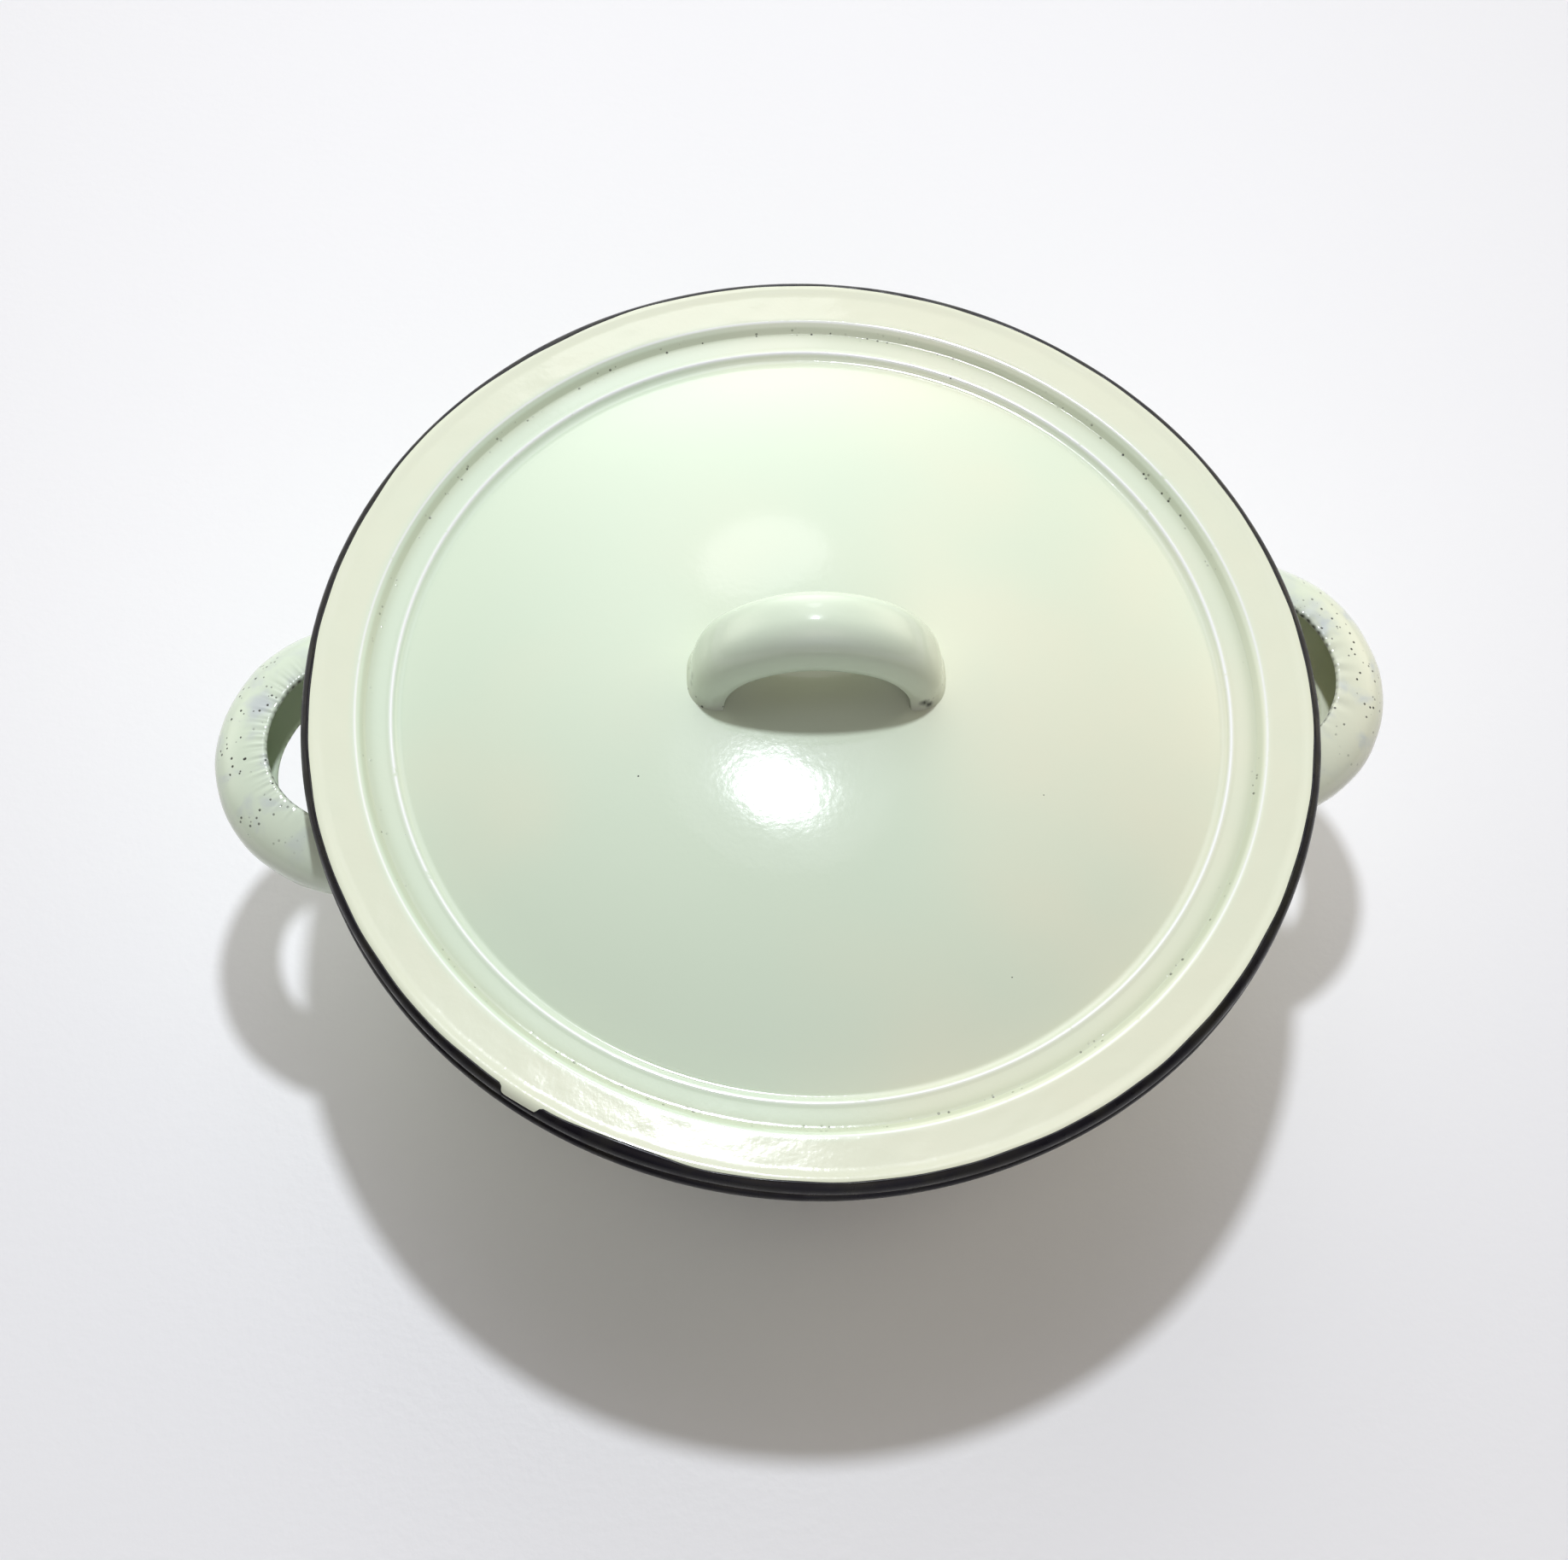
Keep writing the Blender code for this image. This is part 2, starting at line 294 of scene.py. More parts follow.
def mintEnamel(name):
    k = glaze
    material, shader = newMaterial(name)
    place = addNode(material, "ShaderNodeTexCoord").outputs["Object"]
    links = material.node_tree.links
    across = addNode(material, "ShaderNodeSeparateXYZ", Vector=place).outputs[0]
    lean = maths(material, "MULTIPLY", across, k["lean"])
    lean = maths(material, "ADD", lean, noiseAt(material, place, 11.0))
    colour = mixed(material, ranged(material, lean, 0.32, 0.72), k["mintCool"], k["mint"])
    colour = mixed(material, mark(material, "cream"), colour, k["cream"])
    fine = ranged(material, noiseAt(material, place, 70.0, 3.0), 0.3, 0.7, 0.0, 0.10)
    colour = mixed(material, fine, colour, k["mintCool"])
    # darker olive: painted shade on the dome under the arch, and a darker band in creases
    darkOliveAndShadeShare = maths(material, "MULTIPLY", mark(material, "darkOliveAndShade"), 0.6, True)
    colour = mixed(material, darkOliveAndShadeShare, colour, k["darkOliveAndShade"])
    patch = ranged(material, noiseAt(material, place, 110.0, 3.0, 0.3), 0.48, 0.75)
    cloudy = maths(material, "MULTIPLY", patch, mark(material, "cloud"), True)
    colour = mixed(material, cloudy, colour, k["cloud"])
    # a pale line painted along the ring crests as a highlight, broken up by noise
    wearAndHighlight = ranged(material, noiseAt(material, place, 300.0), 0.24, 0.36)
    wearAndHighlight = maths(material, "MULTIPLY", wearAndHighlight, mark(material, "line"), True)
    colour = mixed(material, wearAndHighlight, colour, k["line"])
    # pinholes: a few everywhere, and crowds of them where the piece is marked
    lone = dotsAt(material, place, *k["lonePits"])
    crowd = dotsAt(material, place, *k["crowdedPits"])
    crowd = maths(material, "MULTIPLY", crowd, mark(material, "pits"), True)
    gate = ranged(material, noiseAt(material, place, 120.0), 0.45, 0.52)
    holes = maths(material, "MAXIMUM", lone, maths(material, "MULTIPLY", crowd, gate))
    # dark ground coat in holes and at marked edges, and painted shade where marked inside the arch
    bareAndShade = maths(material, "MAXIMUM", holes, mark(material, "bareAndShade"), True)
    links.new(mixed(material, bareAndShade, colour, k["bareAndShade"]), shader.inputs["Base Color"])
    smear = noiseAt(material, place, 40.0, 3.0)
    rough = ranged(material, smear, 0.3, 0.7, k["roughness"] * 0.85, k["roughness"] * 1.25)
    rough = maths(material, "ADD", rough, maths(material, "MULTIPLY", bareAndShade, 0.35), True)
    links.new(rough, shader.inputs["Roughness"])
    # the glaze is faintly wavy, grainy close up, and sunk at each hole
    grain = waved(material, place, k["grain"], waved(material, place, k["wave"]))
    inputs = {"Strength": 0.6, "Distance": k["pitDepth"], "Height": holes, "Normal": grain}
    sunk = addNode(material, "ShaderNodeBump", {"invert": True}, **inputs)
    links.new(sunk.outputs[0], shader.inputs["Normal"])
    shader.inputs["IOR"].default_value = k["ior"]
    shader.inputs["Coat Weight"].default_value = k["coat"]
    shader.inputs["Coat Roughness"].default_value = k["coatRoughness"]
    return material


def blackEnamel(name):
    k = blackCoat
    material, shader = newMaterial(name)
    place = addNode(material, "ShaderNodeTexCoord").outputs["Object"]
    links = material.node_tree.links
    blotch = ranged(material, noiseAt(material, place, 120.0, 3.0), 0.4, 0.7)
    colour = mixed(material, blotch, k["colour"], k["edge"])
    colour = mixed(material, dotsAt(material, place, *k["flecks"]), colour, k["fleck"])
    links.new(colour, shader.inputs["Base Color"])
    smear = noiseAt(material, place, 200.0, 3.0)
    rough = ranged(material, smear, 0.3, 0.7, k["roughness"] * 0.7, k["roughness"] * 1.7)
    links.new(rough, shader.inputs["Roughness"])
    links.new(waved(material, place, k["wave"], detail=3.0), shader.inputs["Normal"])
    shader.inputs["IOR"].default_value = k["ior"]
    shader.inputs["Specular IOR Level"].default_value = k["specular"]
    return material


mint = mintEnamel("mintEnamel")
black = blackEnamel("blackEdgeEnamel")


# The lid

lid = {
    "bead": 2.54 * mm,  # section radius of the rolled edge
    "sheet": 1.8 * mm,
    "brim": 2.5 * mm,  # heights are above the middle of the rolled edge
    "crest": 2.10 * mm,
    "land": -0.20 * mm,
    "stepTop": 107.5 * mm,  # radii from here inward
    "stepFoot": 105.25 * mm,
    "ringCrest": 99.35 * mm,
    "ringHeight": 0.10 * mm,
    "grooveRadius": 97.9 * mm,
    "grooveDepth": -1.85 * mm,
    "domeRadius": 97.0 * mm,
    "domeFoot": -1.4 * mm,
    "domeRise": 14.2 * mm,
    "domePower": 2.65,
    "turns": 400,
    # the pressing isn't quite round or flat: waves round it as (count, size in mm, phase in degrees)
    "wander": [(2, 0.18, 40), (3, 0.15, 100), (5, 0.08, 10), (9, 0.05, 60), (14, 0.035, 200)],
    "lift": [(2, 0.12, 80), (3, 0.10, 0), (7, 0.05, 30)],
    "slantDimples": [(41, 0.010, 0), (67, 0.008, 50)],
    "roundDimples": [(29, 0.012, 120), (53, 0.009, 10)],
    "dimpleWidth": 1.1 * mm,
    "brimInside": 110.4 * mm,
    "brimOutside": 115.6 * mm,
    "highlightWidths": (0.34 * mm, 0.26 * mm),  # widths of the painted highlight along the inner and the outer ring's crest
    "pitWidth": 0.6 * mm,
    "creaseDarkWidth": 1.9 * mm,
    "archShade": (19 * mm, 9 * mm),  # half length and half width of the painted shade on the dome under the arch
}


def domeAt(radius):
    # the dome falls from its middle by a power of the radius
    k = lid
    return seat + k["domeFoot"] + k["domeRise"] * (1 - (np.abs(radius) / k["domeRadius"]) ** k["domePower"])


def lidLine():
    # top of the lid from the middle outward, round the rolled edge and back underneath to the middle
    k = lid
    beadMiddle = (lidRadius - k["bead"], seat)
    step = np.linspace(0, k["domeRadius"] - 1.2 * mm, 60)
    dome = np.stack([step, domeAt(step)], 1)
    corners = [
        (dome[-1][0], dome[-1][1], 0),
        (k["grooveRadius"], seat + k["grooveDepth"], 1.6 * mm),
        (k["ringCrest"], seat + k["ringHeight"], 0.45 * mm),
        (k["ringCrest"] + 1.3 * mm, seat + k["land"] + 0.02 * mm, 1.5 * mm),
        (k["stepFoot"], seat + k["land"] - 0.10 * mm, 0.35 * mm),
        (k["stepTop"], seat + k["crest"], 1.3 * mm),
        (k["brimInside"], seat + k["crest"] + 0.03 * mm, 26 * mm),
        (k["brimOutside"], seat + k["crest"] + 0.12 * mm, 12 * mm),
        (beadMiddle[0], seat + k["bead"], 0),
    ]
    top = filled(rounded(corners, 0.12 * mm), 0.8 * mm)
    bead = ringOf(beadMiddle, k["bead"], 88, -196, 40)
    under = [
        (bead[-1][0], bead[-1][1], 0),
        (114.0 * mm, seat + k["brim"] - k["sheet"], 0.8 * mm),
        (k["stepTop"] + 1.5 * mm, seat + k["brim"] - k["sheet"], 1.0 * mm),
        (k["stepFoot"] + 1.0 * mm, seat + k["land"] - k["sheet"], 1.6 * mm),
        (k["ringCrest"] - 0.2 * mm, seat + k["ringHeight"] - k["sheet"] - 0.4 * mm, 1.0 * mm),
        (k["grooveRadius"] - 0.4 * mm, seat + k["grooveDepth"] - k["sheet"] + 0.1 * mm, 1.4 * mm),
        (k["domeRadius"] - 2.0 * mm, domeAt(k["domeRadius"] - 1.0 * mm) - k["sheet"], 0),
    ]
    below = filled(rounded(under, 0.3 * mm), 2.0 * mm)
    step = np.linspace(k["domeRadius"] - 2.0 * mm, 0, 30)[1:]
    inside = np.stack([step, domeAt(step * 1.012) - k["sheet"]], 1)
    return np.concatenate([dome[:-1], top[:-1], bead[1:], below[1:], inside])


def lidShift(angle, profile):
    # the edge wanders and lifts, and the brim is faintly dimpled in two families of ripples
    k = lid
    radius = profile[:, :1]
    outer = smooth(radius, 96 * mm, 116 * mm)
    brim = smooth(radius, 107.6 * mm, 109 * mm) * (1 - smooth(radius, 115.5 * mm, 117 * mm))
    slant = waves(angle, k["slantDimples"]) * np.cos(radius / k["dimpleWidth"])
    dimple = slant + waves(angle, k["roundDimples"])
    return outer * waves(angle, k["wander"]) * mm, outer * waves(angle, k["lift"]) * mm + brim * dimple * mm


def makeLidShell():
    k = lid
    line = lidLine()
    points, radius, angle = turnedPoints(line, k["turns"], lidShift)
    topSide = (points[..., 2] > seat - 2.2 * mm) & (np.arange(len(line))[:, None] < len(line) * 0.72)
    foot = ridgeAt(radius - k["stepFoot"], k["pitWidth"])
    crowded = 0.75 + 0.45 * bump(angle, 95, 70) + 0.4 * bump(angle, 10, 60)
    # a darker olive band in the crease at the step's foot
    crease = ridgeAt(k["stepFoot"] + 0.3 * mm - radius, k["creaseDarkWidth"]) * (radius < k["stepFoot"] + 1.2 * mm)
    # painted shade: the dome under the arch is darkened where the arch's shadow falls
    halfX, halfY = k["archShade"]
    under = np.exp(-((points[..., 0] / halfX) ** 4) - ((points[..., 1] / halfY) ** 4))
    # painted highlight along the crests of both rings
    innerWidth, outerWidth = k["highlightWidths"]
    inner = ridgeAt(radius - k["ringCrest"] + 0.05 * mm, innerWidth)
    crestHighlights = inner + 0.8 * ridgeAt(radius - k["stepTop"], outerWidth)
    marks = {
        "cream": 0.75 * smooth(radius, 106.6 * mm, 109.5 * mm) * topSide,
        "pits": np.clip(foot * topSide * crowded, 0, 1),
        "darkOliveAndShade": np.maximum(crease, 1.6 * under) * topSide,
        "line": crestHighlights * topSide,
    }
    obj = gridMesh("lidShell", points, True, False, mint, marks)
    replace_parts(tidy(obj), "lid_shell")
    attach(obj, "lid")


lidCoat = {
    "bead": lid["bead"],
    "turns": 900,
    "rows": 30,
    "least": 0.01 * mm,  # thickness at the borders, and between them
    "most": 0.16 * mm,
    "inside": 0.35 * mm,
    "border": 118.15 * mm,
    "borderWaves": [(3, 0.10, 20), (7, 0.06, 80), (13, 0.05, 10), (29, 0.05, 140), (47, 0.04, 0)],
    "wide": ((-20, 45, 0.45), (118, 10, 0.45), (245, 9, 0.99)),  # angle, half width in degrees, how far in mm
    "narrow": ((140, 14, 0.35), (212, 28, 0.35)),
    "notch": (232.8, 3.6, 1.45),  # place left bare
    "end": -118.0,
    "endWaves": [(11, 0.05, 0), (23, 0.035, 60)],
}


def coatBorder(angle):
    # how far the wiped black reaches in from the outside of the edge, as a radius
    k = lidCoat
    border = waves(angle, k["borderWaves"])
    border = border - sum(deep * bump(angle, middle, half) for middle, half, deep in k["wide"])
    border = border + sum(deep * bump(angle, middle, half) for middle, half, deep in k["narrow"])
    middle, half, deep = k["notch"]
    return k["border"] + (border + deep * smooth(bump(angle, middle, half), 0.15, 0.45)) * mm


def makeLidEdge():
    # the coat runs from its wiped border over the outside of the edge to underneath
    k = lidCoat
    middle = (lidRadius - k["bead"], seat)
    obj = edgeCoat(
        "lidEdgeCoat", k, middle,
        lambda angle: np.arccos(np.clip((coatBorder(angle) - middle[0]) / k["bead"], -0.98, 0.98)),
        lambda angle: np.radians(k["end"]) + waves(angle, k["endWaves"]),
        lambda share: np.minimum(np.clip(share / 0.035, 0, 1) ** 0.5, 1 - smooth(share, 0.93, 1)),
        lidShift,
    )
    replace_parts(obj, "lid_rim")
    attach(obj, "lid")


# The pot

pot = {
    "bead": 1.65 * mm,
    "sheet": 1.8 * mm,
    "wallTopRadius": 110.9 * mm,
    "wallTop": -8.0 * mm,  # below the seat
    "taper": 0.165,
    "corner": 26.0 * mm,
    "foot": 10.0 * mm,
    "recess": 1.2 * mm,
    "turns": 320,
    "wander": [(2, 0.20, 10), (3, 0.12, 60), (8, 0.05, 20)],
    "footWear": [(3, 0.5, 0), (7, 0.4, 40), (11, 0.5, 90), (19, 0.4, 10)],
}


def potWall(height):
    return pot["wallTopRadius"] - pot["taper"] * (seat + pot["wallTop"] - height)


def cornerMiddle():
    # the corner's arc touches the tapered wall and the base
    lean = math.atan(pot["taper"])
    touch = pot["corner"] * (1 - math.sin(lean))
    return potWall(touch) - pot["corner"] * math.cos(lean), pot["corner"]


def potLine():
    # from the middle of the base out and up the wall, over the rolled edge, and down the inside to the middle
    k = pot
    lean = math.degrees(math.atan(k["taper"]))
    middle = cornerMiddle()
    footIn = middle[0] - k["foot"]
    rim = (potRimRadius - k["bead"], potRimHeight)
    base = rounded([
        (0, k["recess"], 0),
        (footIn - 1.5 * mm, k["recess"], 1.2 * mm),
        (footIn, 0, 0.8 * mm),
        (middle[0] - 0.5 * mm, 0, 0),
    ], 0.3 * mm)
    outside = ringOf(middle, k["corner"], -90, -lean, 30)
    upper = rounded([
        (outside[-1][0], outside[-1][1], 0),
        (k["wallTopRadius"], seat + k["wallTop"], 0),
        (111.3 * mm, seat - 5.4 * mm, 2.2 * mm),
        (rim[0] - 2.2 * mm, seat - 5.6 * mm, 0),
    ], 0.25 * mm)
    bead = ringOf(rim, k["bead"], 200, 470, 26)
    lip = rounded([
        (bead[-1][0], bead[-1][1], 0),
        (114.6 * mm, seat - 1.4 * mm, 2.0 * mm),
        (112.2 * mm, seat + 0.5 * mm, 1.6 * mm),
        (109.2 * mm, seat + 0.4 * mm, 1.5 * mm),
        (109.0 * mm, seat - 4.0 * mm, 3.0 * mm),
        (k["wallTopRadius"] - k["sheet"], seat + k["wallTop"], 0),
    ], 0.25 * mm)
    inside = ringOf(middle, k["corner"] - k["sheet"], -lean, -90, 30)
    floor = rounded([
        (inside[-1][0], inside[-1][1], 0),
        (footIn + 0.7 * mm, k["sheet"], 1.0 * mm),
        (footIn - 0.8 * mm, k["recess"] + k["sheet"], 1.0 * mm),
        (0, k["recess"] + k["sheet"], 0),
    ], 0.3 * mm)
    line = np.concatenate([base, outside, upper[1:], bead, lip[1:], inside, floor[1:]])
    return filled(line, 3.0 * mm)


def potShift(angle, profile):
    # the wall wanders from round, more and more toward the lip
    share = smooth(profile[:, 1:], 20 * mm, 80 * mm)
    return share * waves(angle, pot["wander"]) * mm, 0


def makePot():
    line = potLine()
    points, radius, angle = turnedPoints(line, pot["turns"], potShift)
    height = points[..., 2]
    outerSide = np.arange(len(line))[:, None] < len(line) * 0.55
    foot = ridgeAt(height, 0.5 * mm) * outerSide
    wearAndHighlight = foot * smooth(waves(angle, pot["footWear"]), -0.1, 0.5)
    marks = {
        "cream": np.full_like(radius, 0.2),
        "pits": np.clip(0.5 * foot + 0.35 * (1 - outerSide) * smooth(height, 60 * mm, 90 * mm), 0, 1),
        "cloud": 0.2 * ridgeAt(height - 6 * mm, 8 * mm) * outerSide,
        "bareAndShade": np.clip(0.85 * wearAndHighlight, 0, 1),
    }
    obj = gridMesh("potShell", points, True, False, mint, marks)
    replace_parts(tidy(obj), "pot_body")
    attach(obj, "pot")


potCoat = {
    "bead": pot["bead"],
    "turns": 720,
    "rows": 18,
    "least": -0.03 * mm,
    "most": 0.12 * mm,
    "inside": 0.3 * mm,
    "start": 128.0,
    "startWaves": [(5, 0.12, 0), (12, 0.084, 60), (31, 0.06, 20)],
    "end": -160.0,
    "endWaves": [(4, 0.12, 30), (15, 0.096, 0)],
}


def makePotEdge():
    # the coat runs round the pot's rolled edge and is wiped thin at both borders
    k = potCoat
    obj = edgeCoat(
        "potEdgeCoat", k, (potRimRadius - k["bead"], potRimHeight),
        lambda angle: np.radians(k["start"]) + waves(angle, k["startWaves"]),
        lambda angle: np.radians(k["end"]) + waves(angle, k["endWaves"]),
        lambda share: np.minimum(smooth(share, 0, 0.12), 1 - smooth(share, 0.88, 1)),
        potShift,
    )
    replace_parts(obj, "pot_rim")
    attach(obj, "pot")


# Bent channels, for the three handles

def channelSection(width, depth, wall, square, fine=34):
    # closed outline (across, depth, share of the outside): half oval, round lip, half oval back, round lip.
    # square is 1 for an ellipse, and less for a flatter back and quicker shoulders.
    turn = np.linspace(0, np.pi, fine)
    flatX = np.sign(np.cos(turn)) * np.abs(np.cos(turn)) ** square
    flatY = np.sin(turn).clip(0) ** square
    outer = np.stack([-width / 2 * flatX, depth * flatY, np.ones(fine)], 1)
    inner = np.stack([-(width / 2 - wall) * flatX, (depth - wall) * flatY, np.zeros(fine)], 1)[::-1]
    lipTurn = np.linspace(0, np.pi, 7)[1:-1]
    cos, sin = np.cos(lipTurn), np.sin(lipTurn)
    middle = width / 2 - wall / 2
    high = np.stack([middle + wall / 2 * cos, -wall / 2 * sin, 0.5 + 0.5 * cos], 1)
    low = np.stack([-middle + wall / 2 * cos, -wall / 2 * sin, 0.5 - 0.5 * cos], 1)
    return np.concatenate([outer, high, inner, low])


def capEnds(obj, rows, columns):
    # closes both ends of a tube, each with one face that the shell hides
    bm = bmesh.new()
    bm.from_mesh(obj.data)
    bm.verts.ensure_lookup_table()
    for row in (0, rows - 1):
        bm.faces.new([bm.verts[row * columns + i] for i in range(columns)])
    bm.to_mesh(obj.data)
    bm.free()


loop = {
    "centre": 107.5 * mm,
    "inside": 22.8 * mm,
    "depth": 12.7 * mm,
    "width": 19.0 * mm,
    "wall": 1.7 * mm,
    "flare": 1.6 * mm,
    "flareReach": 4.0 * mm,
    "steps": 220,
    "square": 0.95,
    "letIn": 0.9 * mm,  # how far the ends are let into the wall
    "ridge": 0.45 * mm,  # puckered sheet along the upper lip
    "puckers": [(61, 0.6, 10), (97, 0.5, 70), (143, 0.4, 30)],
    "blobs": [(19, 0.7, 40), (31, 0.6, 10), (47, 0.4, 100)],
    "bareLip": [(23, 0.5, 40), (37, 0.5, 10)],
    "leftTurn": math.radians(180),  # from +X
    "rightTurn": math.radians(3.4),  # a little off the other's opposite
}


def makeLoop(name, side, turnBy, node):
    # the channel is carried round an arc in a level plane, and its ends run on into the pot's wall
    k = loop
    section = channelSection(k["width"], k["depth"], k["wall"], k["square"])
    across, depth, outside = section[:, 0], section[:, 1], section[:, 2]
    level = (loopLow.z + loopHigh.z) / 2
    turn = np.linspace(-math.pi / 2, math.pi / 2, k["steps"])[:, None]
    sideways = np.abs(np.degrees(turn))
    # the upper lip has fine puckers on one loop and blobs of glaze on the other, most where the bend is free
    rough = 0.5 * waves(turn, k["puckers"] if side < 0 else k["blobs"])
    upper = ridgeAt(across - k["width"] / 2 + 1.6 * mm, 2.0 * mm) * ridgeAt(depth, 3.0 * mm) * outside
    pucker = upper * (0.6 + rough * (1 - smooth(sideways, 30, 75))) * k["ridge"]
    dent = waves(turn, [(5, 0.10, 20 + 90 * side), (9, 0.07, 50), (17, 0.04, 0)]) * mm * outside
    reach = k["inside"] + depth + dent
    x = k["centre"] + reach * np.cos(turn)
    y = reach * np.sin(turn)
    z = level + across + pucker
    # straight ends, drawn to the wall and let into it by less than its thickness
    run = np.linspace(0, 1, 9)[:-1, None]
    ends = []
    for row in (0, -1):
        wallX = np.sqrt((potWall(z[row]) - k["letIn"]) ** 2 - y[row] ** 2)
        ends.append((wallX + (x[row] - wallX) * run, y[row] + 0 * run, z[row] + 0 * run))
    x = np.concatenate([ends[0][0], x, ends[1][0][::-1]])
    y = np.concatenate([ends[0][1], y, ends[1][1][::-1]])
    z = np.concatenate([ends[0][2], z, ends[1][2][::-1]])
    # a soft fillet of glaze where it meets the wall
    clear = np.hypot(x, y) - potWall(z)
    spread = k["flare"] * np.clip(1 - clear / k["flareReach"], 0, 1.2) ** 2 * outside
    y = y + np.sign(y) * spread * np.clip(depth / k["depth"], 0.15, 1)
    z = z + spread * np.clip(across / (k["width"] / 2), -1, 1)
    cos, sin = math.cos(turnBy), math.sin(turnBy)
    points = np.stack([x * cos - y * sin, x * sin + y * cos, z], -1)
    rows, columns = len(points), len(across)
    straight = np.full(len(run), 90.0)
    turnAll = np.concatenate([-straight, np.degrees(turn[:, 0]), straight])[:, None]
    top = smooth(across / (k["width"] / 2), 0.15, 0.75) * outside
    middle = 1 - smooth(np.abs(turnAll), 25, 70)
    lips = ridgeAt(outside - 0.6, 0.25) * (depth < 0.1 * mm)
    marks = {
        "cream": np.full((rows, columns), 0.15),
        "pits": np.clip(top * middle, 0, 1),
        "cloud": np.clip(top * (0.4 + 0.6 * middle), 0, 1),
        "bareAndShade": np.clip(lips * (0.5 + waves(turnAll, k["bareLip"])), 0, 1),
    }
    obj = gridMesh(name, points, True, False, mint, marks)
    capEnds(obj, rows, columns)
    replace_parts(tidy(obj), node)
    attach(obj, "pot")


arch = {
    "halfSpan": 29.3 * mm,
    "rise": 29.9 * mm,
    "insideHalfSpan": 21.8 * mm,
    "base": 12.7 * mm,  # above the seat
    "width": 17.0 * mm,
    "depth": 12.0 * mm,
    "wall": 1.6 * mm,
    # spots burnt through at the feet: place across and along, height above the dome, size
    "holes": (
        (-29.2 * mm, -2.6 * mm, 4.8 * mm, 0.75 * mm),
        (-29.4 * mm, -3.4 * mm, 2.8 * mm, 0.65 * mm),
        (24.6 * mm, -8.2 * mm, 2.2 * mm, 0.8 * mm),
        (26.0 * mm, -8.4 * mm, 1.2 * mm, 0.7 * mm),
    ),
    "square": 0.76,
    "sunk": 0.9 * mm,  # how far the legs are let into the dome
    "turn": math.radians(-3.2),
    "flare": 0.8 * mm,
    "flareReach": 4.0 * mm,
    "steps": 200,
}


def makeArch():
    # the channel is carried over half an ellipse, and its legs run down into the dome
    k = arch
    section = channelSection(k["width"], k["depth"], k["wall"], k["square"])
    across, depth, outside = section[:, 0], section[:, 1] / k["depth"], section[:, 2]
    turn = np.linspace(0, math.pi, k["steps"])[:, None]
    wobble = waves(turn, [(3, 0.10, 0), (7, 0.06, 40)]) * mm * outside
    insideRise = k["rise"] - k["depth"]
    span = k["insideHalfSpan"] + (k["halfSpan"] - k["insideHalfSpan"]) * depth
    x = (span + wobble) * np.cos(turn)
    z = seat + k["base"] + (insideRise + k["depth"] * depth + wobble) * np.sin(turn)
    y = across + 0 * turn
    legs = np.linspace(0, 1, 14)[:-1, None]
    ends = []
    for row in (0, -1):
        foot = domeAt(np.hypot(x[row], y[row])) - k["sunk"]
        ends.append((x[row] + 0 * legs, y[row] + 0 * legs, foot + (z[row] - foot) * legs))
    x = np.concatenate([ends[0][0], x, ends[1][0][::-1]])
    y = np.concatenate([ends[0][1], y, ends[1][1][::-1]])
    z = np.concatenate([ends[0][2], z, ends[1][2][::-1]])
    clear = z - domeAt(np.hypot(x, y))
    spread = k["flare"] * np.clip(1 - clear / k["flareReach"], 0, 1.15) ** 2.4 * outside
    x = x + np.sign(x) * spread * np.clip(depth, 0.0, 1)
    y = y + spread * across / (k["width"] / 2)
    cos, sin = math.cos(k["turn"]), math.sin(k["turn"])
    points = np.stack([x * cos - y * sin, x * sin + y * cos, z], -1)
    rows, columns = len(points), len(across)
    lips = ridgeAt(outside - 0.35, 0.3) * (depth < 0.01)
    feet = ridgeAt(clear, 3 * mm)
    holes = 0
    for middleX, middleY, up, size in k["holes"]:
        away = np.sqrt((x - middleX) ** 2 + (y - middleY) ** 2 + (clear - up) ** 2)
        holes = holes + 1.4 * ridgeAt(away, size)
    marks = {
        "cream": np.full((rows, columns), 0.1),
        "pits": np.clip(0.8 * feet * outside, 0, 1),
        "cloud": 0.25 * feet,
        # the channel's inside is darkened all over as painted shade
        "bareAndShade": np.clip(0.5 * lips + 0.8 * (1 - outside) + holes, 0, 1),
        # darker olive where the legs meet the dome
        "darkOliveAndShade": 0.5 * ridgeAt(clear, 1.2 * mm) * outside,
    }
    obj = gridMesh("lidArch", points, True, False, mint, marks)
    capEnds(obj, rows, columns)
    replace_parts(tidy(obj), "lid_handle")
    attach(obj, "lid")


makeLidShell()
makeLidEdge()
print("lid shell and edge made")
makeArch()
makeLoop("loopLeft", -1, loop["leftTurn"], "pot_handle_left")
makeLoop("loopRight", 1, loop["rightTurn"], "pot_handle_right")
print("handles made")
makePot()
makePotEdge()
print("pot made")


# Floor, light and camera

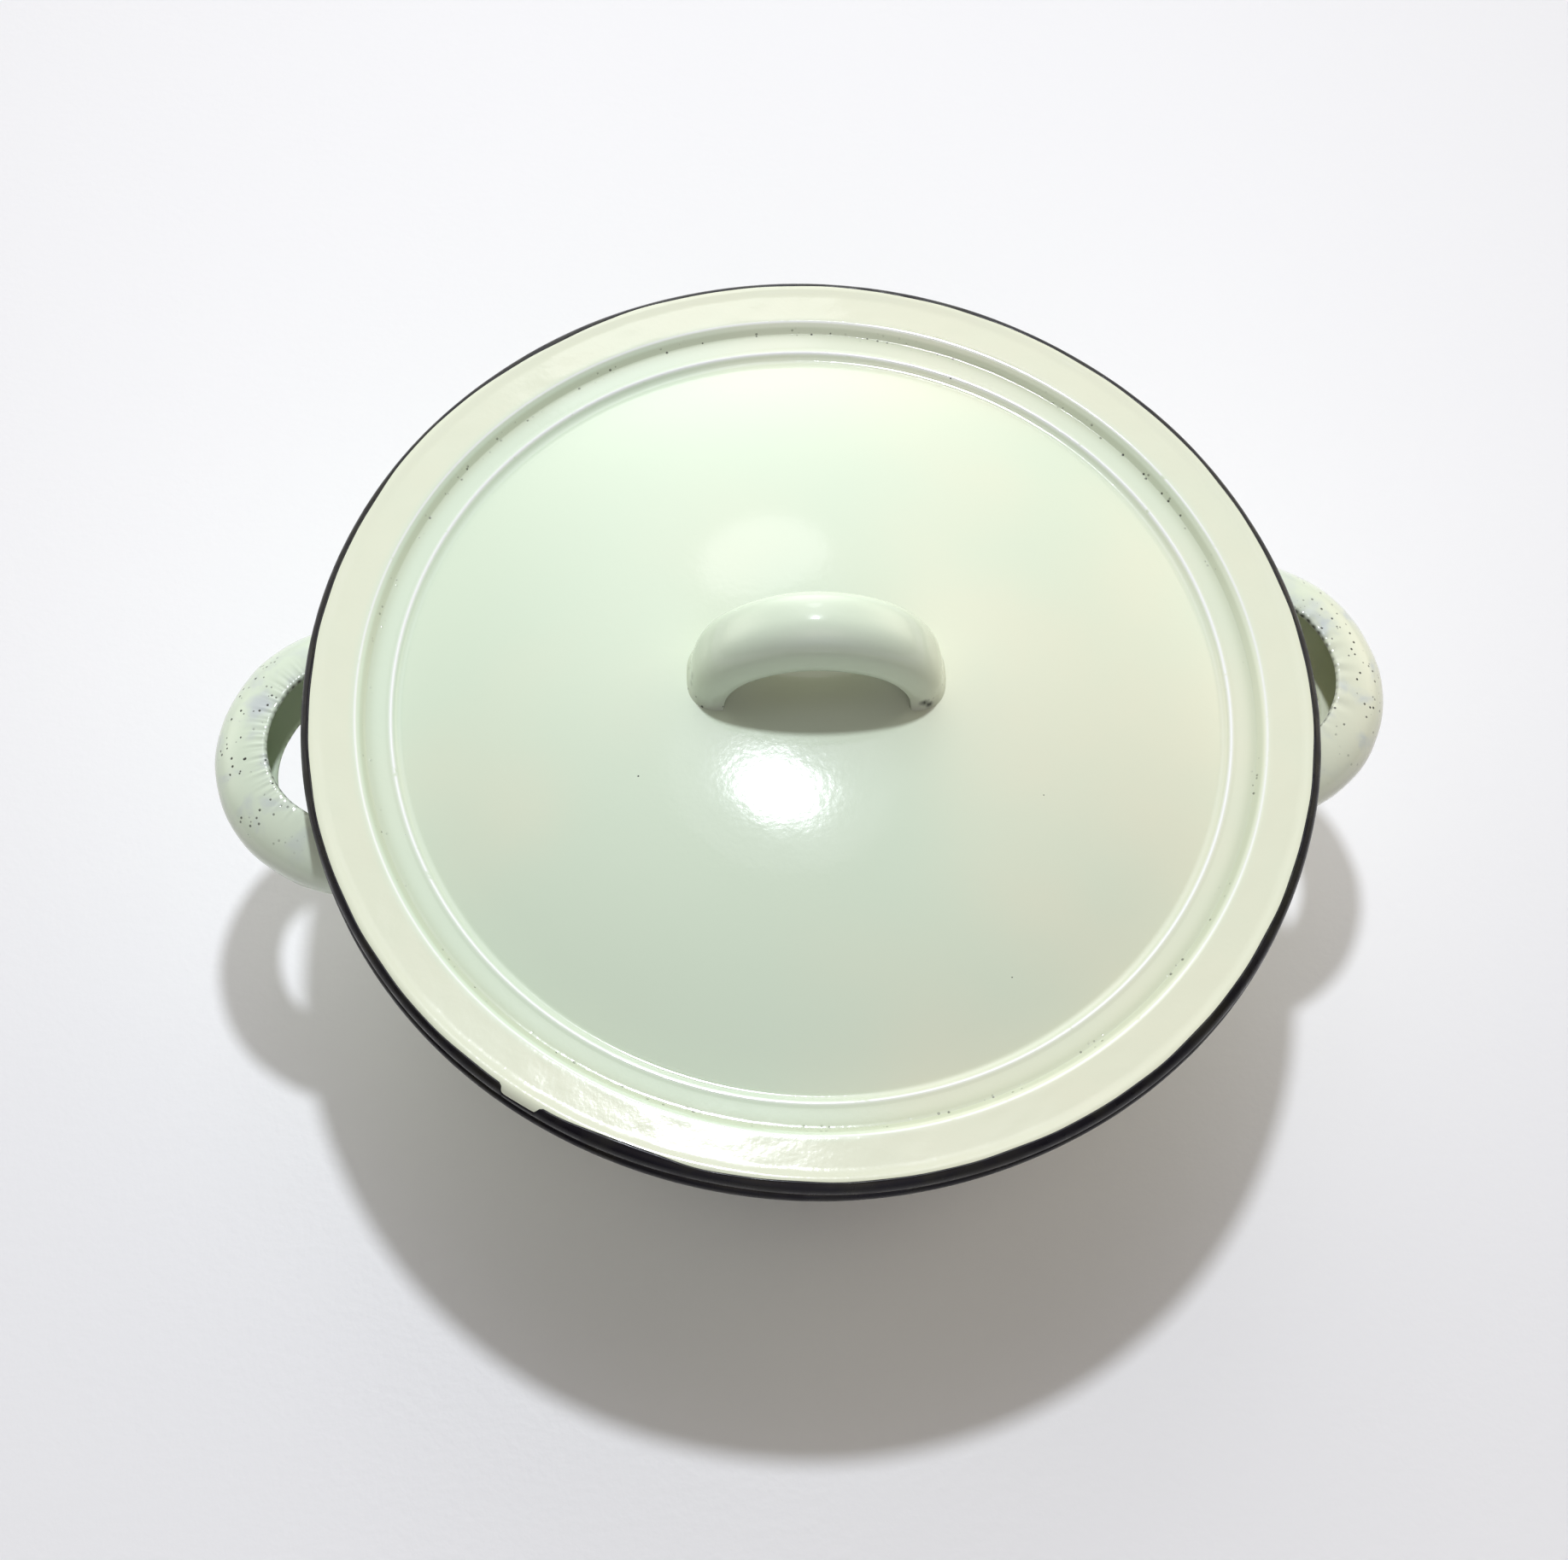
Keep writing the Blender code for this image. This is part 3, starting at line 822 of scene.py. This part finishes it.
studio = {
    "floor": (0.86, 0.86, 0.865),
    "floorHalf": 2.5,
    "floorRoughness": 0.42,
    "peel": (420.0, 0.2 * mm, 0.3),  # cells in a metre, height, strength
    "lampPlace": (0.009, 0.291, 1.06),
    "lampSize": 0.065,
    "lampPower": 6.4,
    "lampColour": (0.87, 0.91, 0.99),
    "glowPlace": (0.012, 0.36, 1.30),  # pale ceiling round the lamp
    "glowSize": 0.45,
    "glowPower": 0.25,
    "glowColour": (0.94, 0.86, 1.0),
    "windowPlace": (0.03, 1.03, 1.35),
    "windowSize": 0.30,
    "windowPower": 0.35,
    "windowColour": (0.95, 0.95, 1.0),
    # soft panels all round: direction, height in degrees, and how bright
    "panels": (
        (90, 14, (2.65, 2.72, 2.62)),
        (30, 14, (2.10, 1.95, 1.65)),
        (150, 14, (1.95, 1.92, 1.70)),
        (270, 14, (0.72, 0.72, 0.90)),
        (90, 50, (1.25, 1.22, 1.28)),
        (270, 50, (1.15, 1.02, 0.98)),
        (20, 35, (0.25, 0.24, 0.20)),
    ),
    "panelSpread": 12.0,
}

view = {
    "place": (-0.04488, -0.25714, 0.50265),  # from the middle of the lid's rolled edge
    "turn": (25.375, -2.099, -4.324),
    "lens": 54.9,
}


def floorMaterial():
    material, shader = newMaterial("paleFloor")
    place = addNode(material, "ShaderNodeTexCoord").outputs["Object"]
    material.node_tree.links.new(waved(material, place, studio["peel"]), shader.inputs["Normal"])
    darker = tuple(0.985 * c for c in studio["floor"])
    tint = mixed(material, noiseAt(material, place, 3.0), studio["floor"], darker)
    material.node_tree.links.new(tint, shader.inputs["Base Color"])
    shader.inputs["Roughness"].default_value = studio["floorRoughness"]
    return material


def makeStage():
    half = studio["floorHalf"]
    corners = [(-half, -half, 0), (half, -half, 0), (half, half, 0), (-half, half, 0)]
    mesh = bpy.data.meshes.new("floor")
    mesh.from_pydata(corners, [], [(0, 1, 2, 3)])
    mesh.materials.append(floorMaterial())
    floor = bpy.data.objects.new("floor", mesh)
    bpy.context.scene.collection.objects.link(floor)


def makeStudioWalls():
    # each panel is its colour times a power of the cosine between the view direction and its own
    world = bpy.data.worlds.new("softStudio")
    world.use_nodes = True
    nodes, links = world.node_tree.nodes, world.node_tree.links
    direction = nodes.new("ShaderNodeTexCoord").outputs["Generated"]
    total = None
    for around, height, colour in studio["panels"]:
        around, height = math.radians(around), math.radians(height)
        flat = math.cos(height)
        toward = (flat * math.cos(around), flat * math.sin(around), math.sin(height))
        facing = nodes.new("ShaderNodeVectorMath")
        facing.operation = "DOT_PRODUCT"
        links.new(direction, facing.inputs[0])
        facing.inputs[1].default_value = toward
        ahead = nodes.new("ShaderNodeMath")
        ahead.operation = "MAXIMUM"
        ahead.inputs[1].default_value = 0
        links.new(facing.outputs["Value"], ahead.inputs[0])
        spread = nodes.new("ShaderNodeMath")
        spread.operation = "POWER"
        spread.inputs[1].default_value = studio["panelSpread"]
        links.new(ahead.outputs[0], spread.inputs[0])
        lit = nodes.new("ShaderNodeVectorMath")
        lit.operation = "SCALE"
        lit.inputs[0].default_value = colour
        links.new(spread.outputs[0], lit.inputs["Scale"])
        if total is None:
            total = lit.outputs[0]
            continue
        summed = nodes.new("ShaderNodeVectorMath")
        links.new(total, summed.inputs[0])
        links.new(lit.outputs[0], summed.inputs[1])
        total = summed.outputs[0]
    links.new(total, nodes["Background"].inputs["Color"])
    bpy.context.scene.world = world


def addLamp(name):
    # a round lamp, turned toward the middle of the lid
    data = bpy.data.lights.new(name, "AREA")
    data.shape = "DISK"
    data.size = studio[name + "Size"]
    data.energy = studio[name + "Power"]
    data.color = studio[name + "Colour"]
    lamp = bpy.data.objects.new(name, data)
    lamp.location = studio[name + "Place"]
    direction = Vector((0, 0, seat)) - lamp.location
    lamp.rotation_euler = direction.to_track_quat("-Z", "Y").to_euler()
    bpy.context.scene.collection.objects.link(lamp)


def makeLights():
    addLamp("lamp")
    addLamp("glow")
    addLamp("window")


def makeCamera():
    data = bpy.data.cameras.new("camera")
    data.sensor_width = 36
    data.lens = view["lens"]
    data.clip_start = 0.01
    camera = bpy.data.objects.new("camera", data)
    camera.location = (view["place"][0], view["place"][1], view["place"][2] + seat)
    camera.rotation_euler = [math.radians(a) for a in view["turn"]]
    bpy.context.scene.collection.objects.link(camera)
    bpy.context.scene.camera = camera


makeStage()
makeStudioWalls()
makeLights()
makeCamera()
bpy.context.scene.view_settings.view_transform = "Standard"
print("stage, lights and camera made")
